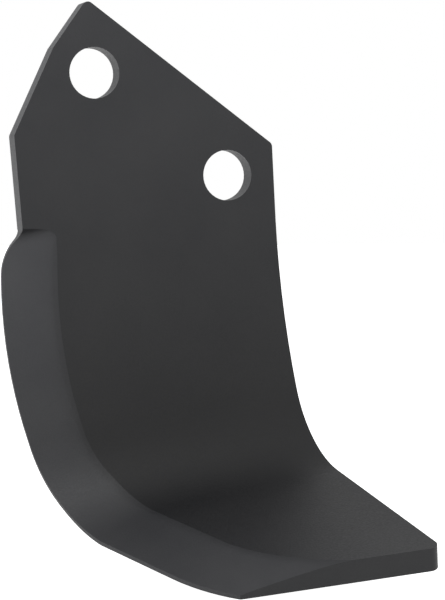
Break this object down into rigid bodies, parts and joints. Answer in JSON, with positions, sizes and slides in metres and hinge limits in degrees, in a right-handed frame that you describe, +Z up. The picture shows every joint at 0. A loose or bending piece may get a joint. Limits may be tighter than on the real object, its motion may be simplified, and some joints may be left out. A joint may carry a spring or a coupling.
{
  "type": "rotary tiller blade",
  "caption": "Curved tiller blade for a rotary cultivator: one flat steel bar with two bolt holes in its shank, a bevel forged along the leading edge, and a wing bent across the end to scoop soil.",
  "frame": {"origin": "on the flat seat face that lies against the rotor flange, midway between the two bolt holes", "axes": "+Y out of the seat face, along the bolts; +Z up the shank, away from the wing; +X to the trailing side. The wing bends to -Y."},
  "size_m": [0.1203, 0.089, 0.1881],
  "materials": {
    "blade_steel": "satin black paint over forged steel"
  },
  "bodies": {
    "root": {"blade": "blade_steel"}
  },
  "joints": []
}
